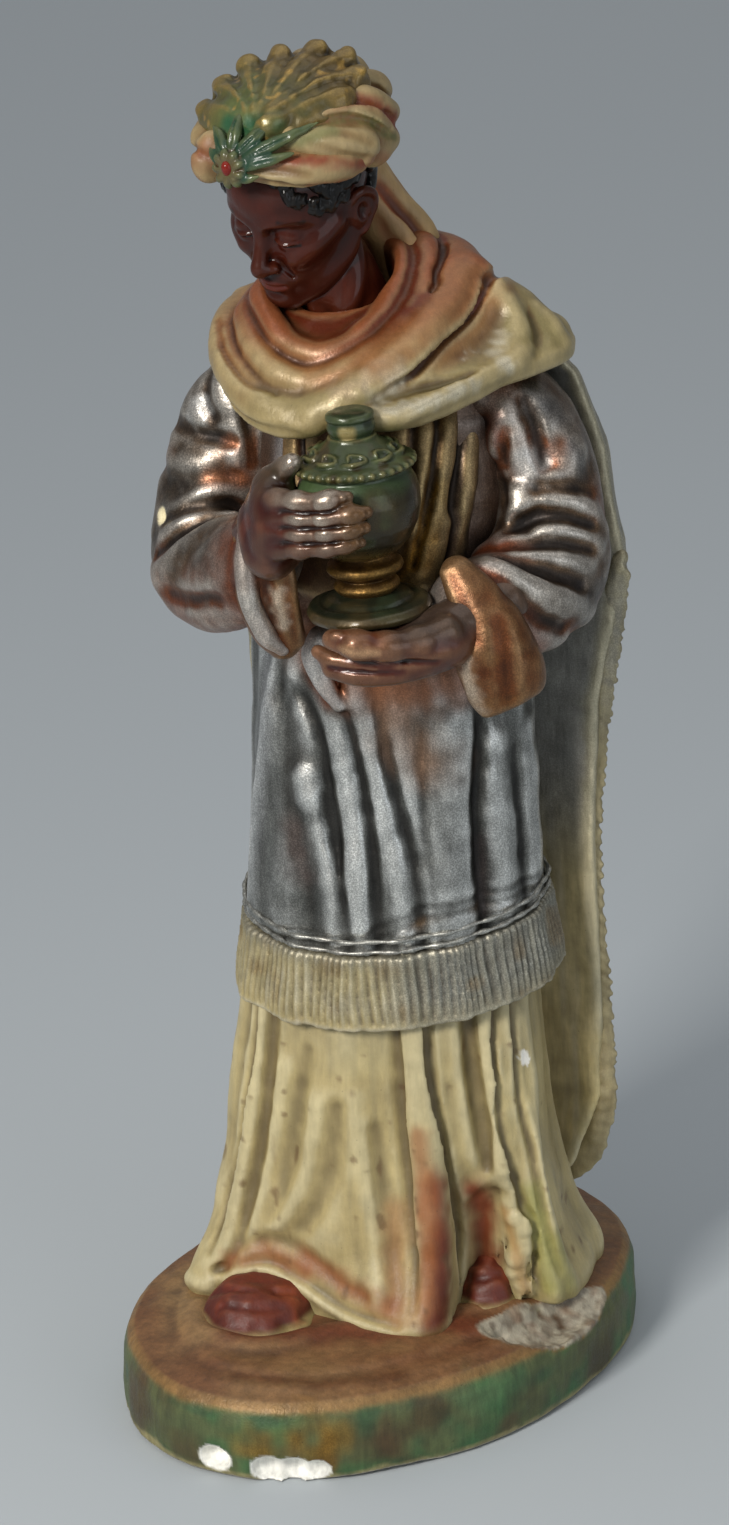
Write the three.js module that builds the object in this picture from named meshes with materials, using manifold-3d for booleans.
// A painted plaster crib figure: a robed king in a turban, standing on an oval plinth and holding
// a lidded urn.
// Millimetres, +Z up. The origin is the centre of the plinth's underside, the chest faces -Y and the
// figure's left hand is towards +X. The plinth's long side is turned from the way the chest faces.
import * as THREE from 'three';
import { LoftGeometry } from 'three/addons/geometries/LoftGeometry.js';
import { mergeVertices } from 'three/addons/utils/BufferGeometryUtils.js';
import Module from 'manifold-3d';

const wasm = await Module();
wasm.setup();

// Driving dimensions.
const PLINTH = { long: 111, wide: 82, height: 16.2, turn: 58 };
const FIGURE = { x: 1.2, y: -4.5, z: -2.8 }; // where the figure's own frame stands on the plinth's
const TOP_Z = 19; // the plinth's top in the figure's frame, which every height below is measured in
const HEM_Z = 80; // where the long robe disappears under the tunic
const SHOULDER_Z = 197;
const BODY = { x: 4.5, y: 8 }; // the body's axis
const HEAD = { x: -6, y: -2, z: 227, bow: 24, yaw: -30, tilt: 6 };
const URN = { x: 6.8, y: -23.5, z: 158.6, lean: -3.3 };
const GAP = 0.4; // clearance between neighbouring pieces

const deg = THREE.MathUtils.degToRad;
const lerp = THREE.MathUtils.lerp;
const vec = (x, y, z) => new THREE.Vector3(x, y, z);

// ---- Solids ----------------------------------------------------------------------------------

function solidOf(geometry) {
  const bare = new THREE.BufferGeometry();
  bare.setAttribute('position', geometry.getAttribute('position'));
  bare.setIndex(geometry.getIndex());
  const merged = mergeVertices(bare, 1e-3);
  return new wasm.Manifold(new wasm.Mesh({
    numProp: 3,
    vertProperties: new Float32Array(merged.attributes.position.array),
    triVerts: new Uint32Array(merged.index.array),
  }));
}

function geometryOf(solid) {
  const mesh = solid.getMesh();
  const geometry = new THREE.BufferGeometry();
  geometry.setAttribute('position', new THREE.BufferAttribute(new Float32Array(mesh.vertProperties), 3));
  geometry.setIndex(new THREE.BufferAttribute(new Uint32Array(mesh.triVerts), 1));
  geometry.computeVertexNormals();
  return geometry;
}

// The solid with every face moved out by the distance, which is what its neighbours are cut by.
function grown(solid, distance) {
  const geometry = geometryOf(solid);
  const { position } = geometry.attributes;
  const index = geometry.getIndex();
  const around = Array.from({ length: position.count }, () => []);
  const triangle = new THREE.Triangle();
  for (let i = 0; i < index.count; i += 3) {
    const corners = [0, 1, 2].map((k) => index.getX(i + k));
    triangle.setFromAttributeAndIndices(position, ...corners);
    const normal = triangle.getNormal(vec());
    corners.forEach((corner) => around[corner].push(normal));
  }
  around.forEach((normals, i) => {
    const out = normals.reduce((sum, n) => sum.add(n), vec(0, 0, 0)).normalize();
    const least = Math.max(0.4, Math.min(...normals.map((n) => n.dot(out))));
    const moved = vec().fromBufferAttribute(position, i).addScaledVector(out, distance / least);
    position.setXYZ(i, moved.x, moved.y, moved.z);
  });
  return solidOf(geometry);
}

function largestBody(solid) {
  return solid.decompose().sort((a, b) => b.volume() - a.volume())[0];
}

const joined = (solids) => solids.reduce((whole, part) => whole.add(part));

// ---- Shapes ----------------------------------------------------------------------------------

// A closed column lofted through level ellipses. Each level is [z, centre x, centre y, radius x, radius y],
// and relief(angle, z) is how far the drapery stands out from the ellipse.
function column(levels, sides, { relief = () => 0, turn = 0 } = {}) {
  const sections = levels.map(([z, cx, cy, rx, ry]) => {
    const ring = [];
    for (let i = 0; i < sides; i++) {
      const a = (i / sides) * 2 * Math.PI;
      const out = relief(a, z);
      ring.push(vec((rx + out) * Math.cos(a), (ry + out) * Math.sin(a), 0)
        .applyAxisAngle(vec(0, 0, 1), deg(turn))
        .add(vec(cx, cy, z)));
    }
    return ring;
  });
  return solidOf(new LoftGeometry(sections, { capStart: true, capEnd: true }));
}

// A closed limb or fold swept along a curve. Each station is [x, y, z, radius]; flat squeezes the section
// along the frame's normal, and a loop joins its last station to its first.
function limb(stations, { sides = 10, steps = 12, flat = 1, loop = false } = {}) {
  const curve = new THREE.CatmullRomCurve3(stations.map(([x, y, z]) => vec(x, y, z)), loop, 'centripetal');
  const frames = curve.computeFrenetFrames(steps, loop);
  const last = loop ? stations.length : stations.length - 1;
  const section = (u, i, shrink, shift) => {
    const t = curve.getUtoTmapping(u) * last;
    const from = Math.min(Math.floor(t), last - 1);
    const radius = lerp(stations[from][3], stations[(from + 1) % stations.length][3], t - from);
    const centre = curve.getPointAt(u).addScaledVector(frames.tangents[i], shift * radius);
    return Array.from({ length: sides }, (_, k) => {
      const a = (k / sides) * 2 * Math.PI;
      return centre.clone()
        .addScaledVector(frames.normals[i], radius * shrink * flat * Math.cos(a))
        .addScaledVector(frames.binormals[i], radius * shrink * Math.sin(a));
    });
  };
  const sections = [];
  const dome = deg(58); // each rounded end has one narrower section at this angle up from the end
  if (!loop) sections.push(section(0, 0, Math.cos(dome), -Math.sin(dome)));
  for (let i = 0; i <= steps; i++) sections.push(section(i / steps, i, 1, 0));
  if (loop) sections[steps] = sections[0].map((p) => p.clone());
  else sections.push(section(1, steps, Math.cos(dome), Math.sin(dome)));
  return solidOf(new LoftGeometry(sections, { capStart: !loop, capEnd: !loop }));
}

// An ellipsoid, its radii along X, Y and Z.
function blob(x, y, z, rx, ry, rz, columns = 14, rows = 9) {
  const sphere = new THREE.SphereGeometry(1, columns, rows);
  sphere.rotateX(deg(90)).scale(rx, ry, rz).translate(x, y, z);
  return solidOf(sphere);
}

// A turned piece from its profile of [radius, height] points, bottom to top, standing on Z.
function turned(profile, sides = 18) {
  const points = profile.map(([r, z]) => new THREE.Vector2(r, z));
  return solidOf(new THREE.LatheGeometry(points, sides).rotateX(deg(90)));
}

// ---- Assembly --------------------------------------------------------------------------------

const paint = (color, roughness, metalness = 0) =>
  new THREE.MeshStandardMaterial({ color, roughness, metalness });
const PAINTS = {
  base: paint(0x5f7d4a, 0.55, 0.1),
  cream: paint(0xc9b27a, 0.6),
  shoe: paint(0x7a2f1a, 0.4),
  silver: paint(0x8c8c8a, 0.38, 0.8),
  copper: paint(0x9a5a3c, 0.4, 0.6),
  shawl: paint(0xc79a62, 0.5),
  skin: paint(0x4a1f14, 0.3),
  hair: paint(0x15100e, 0.3),
  green: paint(0x4f6b48, 0.5, 0.2),
  gold: paint(0xa88440, 0.4, 0.7),
  gem: paint(0x8c1c1c, 0.2),
};

const whole = new THREE.Group();
const figure = new THREE.Group();
figure.position.set(FIGURE.x, FIGURE.y, FIGURE.z);
const headGroup = new THREE.Group();
headGroup.position.set(HEAD.x, HEAD.y, HEAD.z);
headGroup.rotation.set(deg(HEAD.bow), deg(HEAD.tilt), deg(HEAD.yaw), 'ZXY');
const urnGroup = new THREE.Group();
urnGroup.position.set(URN.x, URN.y, URN.z);
urnGroup.rotation.set(0, deg(URN.lean), 0);
figure.add(headGroup, urnGroup);
whole.add(figure);
whole.updateMatrixWorld(true);

const placed = []; // every finished piece, in the plinth's frame

function apart(a, b) {
  const p = a.boundingBox();
  const q = b.boundingBox();
  return [0, 1, 2].some((k) => p.max[k] + GAP < q.min[k] || q.max[k] + GAP < p.min[k]);
}

// Adds a piece to its group, cut clear of the pieces that are already in place.
function place(name, solid, material, group = figure) {
  const uncut = solid.transform(group.matrixWorld.elements);
  let cut = uncut;
  for (const other of placed) {
    if (!apart(cut, other.solid)) cut = cut.subtract(other.cutter);
  }
  cut = largestBody(cut);
  placed.push({ solid: cut, cutter: grown(uncut, GAP) });
  const back = group.matrixWorld.clone().invert();
  const mesh = new THREE.Mesh(geometryOf(cut.transform(back.elements)), material);
  mesh.name = name;
  group.add(mesh);
}

// ---- Plinth and long robe --------------------------------------------------------------------

function plinth() {
  const [a, b, h] = [PLINTH.long / 2, PLINTH.wide / 2, PLINTH.height];
  const levels = [[0, -1.4], [1.2, -0.3], [h * 0.45, 0], [h - 4.5, -0.4], [h - 1.4, -1.6], [h, -3.6]]
    .map(([z, inset]) => [z, 0, 0, a + inset, b + inset]);
  const block = column(levels, 40, { turn: PLINTH.turn });
  const brokenRim = new THREE.SphereGeometry(1, 12, 8);
  brokenRim.scale(15, 7, 4.5).rotateZ(deg(46)).translate(36, -15, h + 0.8);
  return block.subtract(solidOf(brokenRim));
}

// Upright pleats of a skirt: each is [direction in degrees, half width in degrees, depth].
function pleats(list, fade = () => 1) {
  return (angle, z) => list.reduce((sum, [at, width, depth]) => {
    const off = THREE.MathUtils.euclideanModulo(THREE.MathUtils.radToDeg(angle) - at + 180, 360) - 180;
    return sum + depth * Math.exp(-((off / width) ** 2)) * fade(z);
  }, 0);
}

function robe() {
  const folds = pleats([
    [-75, 9, 4.5], [-118, 16, 1.6], [-160, 8, 2.5], [-50, 9, -5.2], [-27, 8, 2.6], [-8, 8, 2.4],
    [20, 9, 2], [55, 10, 2], [90, 10, 2], [125, 10, 2], [160, 9, 2], [-94, 7, -1.2],
  ], (z) => lerp(1, 0.45, (z - TOP_Z) / (HEM_Z - TOP_Z)));
  const top = HEM_Z - GAP;
  return column([
    [TOP_Z + GAP, 0.8, 9, 35, 22.5], [24, 1, 9, 33.5, 21.5], [32, 1.5, 8.5, 31, 20.5],
    [45, 2, 8, 28.8, 19.5], [60, 2.6, 8, 27.2, 18.8], [top, 3, 8, 26.4, 18.4],
  ], 36, { relief: folds });
}

place('plinth', plinth(), PAINTS.base, whole);
place('long_robe', robe(), PAINTS.cream);
place('right_shoe', blob(-20.5, -14.5, 20.6, 9.6, 10.4, 6.6), PAINTS.shoe);
place('left_shoe', blob(19.8, -2.5, 21, 5.8, 8.6, 6.6), PAINTS.shoe);

// ---- Tunic with its fringe -------------------------------------------------------------------

const tunicFolds = pleats([
  [-62, 7, 1.2], [-82, 6, 1.5], [-100, 8, 1.6], [-122, 9, 1.4], [-40, 8, 1.2], [-150, 8, 1],
  [40, 12, 1.2], [80, 12, 1.2], [120, 12, 1.2],
], (z) => Math.max(0, lerp(1, 0, (z - HEM_Z) / 90)));
const TUNIC_LEVELS = [
  [HEM_Z, 3.4, BODY.y, 27, 18.6], [96, 3.8, BODY.y, 26.8, 18.4], [115, 4.4, BODY.y, 26, 17.8],
  [135, 5, BODY.y, 25.4, 17.2], [155, 5, BODY.y, 25, 17.2], [172, 4.5, BODY.y, 25, 17.2],
  [186, 4.5, BODY.y, 24, 16], [193, 4.5, BODY.y, 20, 13.5], [SHOULDER_Z + 2, 4, BODY.y, 12, 9.5],
];

// A band lying on the tunic between two edges. Both edges hang lower at the front of the right leg.
function skirtBand(lowFront, highSide, depth, thick, relief = () => 0) {
  const edge = (a, lift) => lerp(highSide, lowFront, (1 - Math.cos(a - deg(70))) / 2) + lift;
  const ring = (lift, out) => Array.from({ length: 32 }, (_, i) => {
    const a = (i / 32) * 2 * Math.PI;
    const r = out + relief(a, HEM_Z);
    return vec(3.4 + (26.4 + r) * Math.cos(a), BODY.y + (18 + r) * Math.sin(a), edge(a, lift));
  });
  return solidOf(new LoftGeometry(
    [ring(0, thick), ring(depth * 0.5, thick), ring(depth, thick - 0.6)],
    { capStart: true, capEnd: true },
  ));
}

place('tunic', column(TUNIC_LEVELS, 32, { relief: tunicFolds }), PAINTS.silver);
place('tunic_fringe', skirtBand(76, 86, 13.5, 3.2, tunicFolds), PAINTS.cream);
place('tunic_hem_braid', skirtBand(90, 100, 2.6, 3, tunicFolds), PAINTS.silver);

// ---- Head, in its own bowed and turned group -------------------------------------------------

function skull() {
  return joined([
    blob(0, 1, 3, 11.6, 13.8, 12.6, 14, 9),
    blob(0, -3.2, -6, 9.6, 9.6, 10.6, 12, 8),
    limb([[0, -12.2, 1.5, 1.2], [0, -14, -3, 1.6], [0, -13.4, -4.6, 1.9]], { sides: 8, steps: 3 }),
    blob(0, -9.6, -13.6, 4, 3.4, 3, 10, 6),
    blob(-11.2, 1.5, -2, 1.4, 2.6, 3.6, 8, 6),
    blob(11.2, 1.5, -2, 1.4, 2.6, 3.6, 8, 6),
  ]);
}

// One turn of the turban's cloth: a tilted loop about the head, lower at the back or at one side.
function wrap(z, rx, ry, radius, { dip = 0, roll = 0, cx = 0, cy = 0, count = 12, flat = 1 } = {}) {
  const stations = Array.from({ length: count }, (_, i) => {
    const a = (i / count) * 2 * Math.PI;
    return [cx + rx * Math.cos(a), cy + ry * Math.sin(a), z + dip * Math.sin(a) + roll * Math.cos(a), radius];
  });
  return limb(stations, { sides: 7, steps: 18, loop: true, flat });
}

// One pleat of the crest, from the apex behind the brooch to its lobe on the crest's scalloped edge.
const APEX = [3, -10.2, 17.6];
const LOBES = [
  [-11.6, -2, 15.2], [-10, 0.6, 17], [-5.6, 2.4, 19.6], [-1, 5.8, 20.2], [1.6, 11.4, 18.4], [4.8, 12.8, 17.4],
  [8.2, 10.8, 17.4],
];
function crestPleat([x, y, z]) {
  const between = (t, lift) => [lerp(APEX[0], x, t), lerp(APEX[1], y, t), lerp(APEX[2], z, t) + lift];
  return limb([[...APEX, 1.2], [...between(0.5, 1.6), 2.3], [x, y, z, 2.7]], { sides: 7, steps: 5 });
}

place('head', skull(), PAINTS.skin, headGroup);
place('hair_left', blob(9.6, -4.4, 5, 3.2, 4.2, 4.6, 10, 7), PAINTS.hair, headGroup);
place('hair_right', blob(-9.6, -4.4, 5, 3.2, 4.2, 4.6, 10, 7), PAINTS.hair, headGroup);
place('turban_lower_wrap',
  wrap(10.4, 12.2, 13, 4.1, { dip: -3.8, roll: 0.2, cx: 0.8, cy: 1.6 }), PAINTS.cream, headGroup);
place('turban_upper_wrap',
  wrap(15, 10.9, 12.2, 4.7, { dip: -1.8, roll: -0.6, cx: 1.4, cy: 2.4 }), PAINTS.cream, headGroup);
place('turban_brooch', blob(-0.4, -15.4, 15.4, 3, 2.4, 3.2, 10, 7), PAINTS.green, headGroup);
place('brooch_stone', blob(-0.4, -17.7, 16.2, 1.1, 0.9, 1.4, 8, 6), PAINTS.gem, headGroup);
place('turban_crown', blob(0.8, 2, 14, 11.4, 12, 7.6, 12, 8), PAINTS.gold, headGroup);
place('turban_plumes', joined(LOBES.map(crestPleat)), PAINTS.gold, headGroup);
place('neck',
  limb([[2, 6, 196, 8.6], [0, 4, 206, 8], [-4, 1, 216, 7.4]], { sides: 10, steps: 3 }), PAINTS.skin);
place('turban_tail',
  limb([[2, 12.5, 229, 4.5], [5, 14.5, 221, 5.5], [8.5, 15.5, 213, 6.4], [10, 15, 206, 5.5]],
    { sides: 8, steps: 6, flat: 0.7 }), PAINTS.cream);

// ---- Urn, standing in its own leaning group --------------------------------------------------

const URN_FOOT = [[0, 0], [9.6, 0], [10.9, 1.2], [10.4, 2.4], [7, 3.6], [4.4, 4.2], [0, 4.2]];
const URN_STEM = [[0, 4.6], [5.2, 4.6], [5.8, 5.4], [5.2, 6.3], [4.2, 6.7], [5.4, 7.6], [6.6, 8.5],
  [6.4, 9.5], [4.4, 10.4], [0, 10.4]];
const URN_BOWL = [[0, 10.8], [5, 10.8], [8.6, 13.6], [10.4, 17.4], [10.7, 20], [10.2, 23], [8.8, 25.6],
  [0, 25.6]];
const URN_LID = [[0, 26], [9.4, 26], [9.9, 26.8], [9.4, 27.8], [7.4, 28.8], [5, 30.4], [4.2, 31.2],
  [0, 31.2]];
const URN_KNOB = [[0, 31.6], [3.5, 31.6], [3.9, 32.4], [3.8, 35], [3, 36], [0, 36.2]];

place('urn_foot', turned(URN_FOOT), PAINTS.green, urnGroup);
place('urn_stem', turned(URN_STEM), PAINTS.gold, urnGroup);
place('urn_bowl', turned(URN_BOWL), PAINTS.green, urnGroup);
place('urn_lid', turned(URN_LID), PAINTS.green, urnGroup);
place('urn_knob', turned(URN_KNOB, 16), PAINTS.green, urnGroup);

// ---- Hands -----------------------------------------------------------------------------------

const finger = (stations) => limb(stations, { sides: 6, steps: 4 });

// The right hand lies round the bowl's side, its fingers pointing across the front.
function rightHand() {
  const heights = [[182, 7.5, 2], [177.8, 9.4, 2.1], [173.6, 8.8, 2.1], [169.8, 5.6, 1.9]];
  const fingers = heights.map(([z, tip, r]) => finger([
    [-7, -29, z - 1.5, r + 0.4], [-3, -34, z, r + 0.2], [3, -36.6, z + 0.8, r], [tip, -36.6, z + 1.6, r - 0.3],
  ]));
  const palm = blob(-8.5, -26, 174, 5.4, 7, 9.4, 12, 8);
  const wrist = limb([[-10, -23, 172, 6], [-14, -16, 168, 6.2]], { steps: 3 });
  return joined([palm, wrist, ...fingers]);
}

// The left hand lies under the foot, palm up, with the thumb along the front.
function leftHand() {
  const fingers = [0, 1, 2].map((i) =>
    finger([
      [14, -27 + i * 4, 154.6, 2.9], [7, -29.5 + i * 5, 154.2, 2.6], [1.5 + i, -28.5 + i * 5, 155.6, 2.1],
    ]));
  const thumb = finger([[15.5, -33, 156.6, 2.9], [9, -36, 157.6, 2.9], [2.5, -35, 159.2, 2.1]]);
  const palm = blob(16, -25, 155.4, 8, 8.4, 3.8, 12, 8);
  const wrist = limb([[20, -24, 156.4, 5], [27, -18, 157.6, 5.4]], { steps: 3 });
  return joined([palm, wrist, thumb, ...fingers]);
}

place('right_hand', rightHand(), PAINTS.skin);
place('left_hand', leftHand(), PAINTS.skin);

// ---- Breast of the tunic, hanging in folds behind the urn --------------------------------------

const breastPleats = pleats([[-58, 6, 1.4], [-76, 6, 1.6], [-94, 6, 1.5], [-112, 6, 1.3], [-130, 7, 1]]);
place('tunic_breast', column([
  [151, 5, 3.6, 13, 14], [157, 5, 3.2, 18, 16], [172, 5, 3, 18.5, 16.2], [186, 5, 4, 17, 14.4],
  [193, 5, 5, 13, 11],
], 30, { relief: breastPleats }), PAINTS.gold);

// ---- Sleeves with their hanging cuffs --------------------------------------------------------

place('right_sleeve', limb([
  [-14, 9, 191, 9], [-21.5, 9, 182, 10], [-25.5, 6, 170, 9.4], [-25, 1, 160, 10], [-20, -8, 160, 10.5],
  [-15, -16, 164, 9.5],
], { sides: 10, steps: 8 }), PAINTS.silver);
place('left_sleeve', limb([
  [23, 9, 190, 9.5], [30.5, 9, 181, 10], [34.4, 7, 169, 9.6], [34, 1, 157, 10.5], [30, -8, 155, 11],
  [25, -15, 157, 9.5],
], { sides: 10, steps: 8 }), PAINTS.silver);
place('right_cuff', limb([
  [-13, -22, 172, 4.4], [-12.4, -23, 164, 5], [-9.5, -21.5, 156, 4.4], [-8, -19.5, 151.6, 2.6],
], { steps: 8 }), PAINTS.copper);
place('left_cuff', limb([
  [23.5, -21, 162.5, 4.4], [27, -21.5, 156, 6.2], [29, -20, 147, 6.6], [29.6, -18, 142.4, 4],
], { steps: 8 }), PAINTS.copper);

// ---- Shawl: wraps about the neck and a cape over the shoulders -------------------------------

place('shawl_inner_wrap', wrap(208, 13, 12.6, 3.2, { dip: 4.2, roll: 0.8, cx: -0.5, cy: 3 }), PAINTS.shawl);
place('shawl_middle_wrap',
  wrap(204, 16.4, 15.6, 3.7, { dip: 5.2, roll: 0.8, cx: 0.5, cy: 3.4 }), PAINTS.shawl);
place('shawl_outer_wrap', wrap(200, 20.4, 18.4, 4, { dip: 5.4, roll: 1, cx: 1.4, cy: 4.2 }), PAINTS.shawl);

// The cape's lower edge drops over the chest and runs out to a point over the left shoulder.
function cape() {
  const hump = (a, at) => Math.exp(-(((a - deg(at)) / deg(26)) ** 2));
  const point = (a) => hump(a, 8) + hump(a, 368);
  const chest = (a) => Math.exp(-(((a - deg(285)) / deg(42)) ** 2));
  const edge = (a, [out, z]) => {
    const rx = 26 + point(a) * 8.5 + out;
    const ry = 23 + chest(a) * 5 + out;
    return vec(4.5 + rx * Math.cos(a), 7 + ry * Math.sin(a), z - chest(a) * 4.5 + point(a) * 0.8);
  };
  const rings = [[0, 194.5], [0.8, 197], [-5, 204], [-12, 210]].map((level) =>
    Array.from({ length: 26 }, (_, i) => edge((i / 26) * 2 * Math.PI, level)));
  return solidOf(new LoftGeometry(rings, { capStart: true, capEnd: true }));
}

place('shawl_cape', cape(), PAINTS.shawl);

// ---- Cloak down the back ---------------------------------------------------------------------

// Each level is [z, right edge x, left edge x, depth y of the middle of the back].
const CLOAK_LEVELS = [
  [30, -10, 28, 33.5], [36, -17, 34, 34], [50, -22, 40, 34], [75, -23, 40, 33.6], [100, -22.5, 39.6, 33],
  [128, -22, 41, 32.6], [155, -25, 46.5, 33], [176, -24, 43, 33], [195, -18, 37, 30.5], [201, -12, 28, 27],
];

function cloak() {
  const span = 10;
  const sections = CLOAK_LEVELS.map(([z, right, left, back]) => {
    const half = (left - right) / 2;
    const middle = (left + right) / 2;
    const outer = [];
    const inner = [];
    for (let i = 0; i <= span; i++) {
      const s = -1 + (2 * i) / span;
      const fold = 0.9 * Math.cos(s * 16) * (1 - s * s);
      outer.push(vec(middle - half * s, back - 9.5 * s * s + fold, z));
      inner.push(vec(middle + (half - 1) * s, back - 7 - 8.5 * s * s, z));
    }
    return [...inner, ...outer];
  });
  return solidOf(new LoftGeometry(sections, { capStart: true, capEnd: true }));
}

place('cloak', cloak(), PAINTS.silver);
place('cloak_fringe', limb([
  [44.6, 17.5, 155, 2.6], [42.4, 19.5, 140, 2.4], [40, 20.5, 128, 2.2], [38.6, 20.6, 100, 1.8],
  [39.6, 20.6, 75, 2], [39.6, 21, 52, 2.4], [33.6, 22.6, 36, 2.4],
], { sides: 6, steps: 14 }), PAINTS.cream);

export default whole;
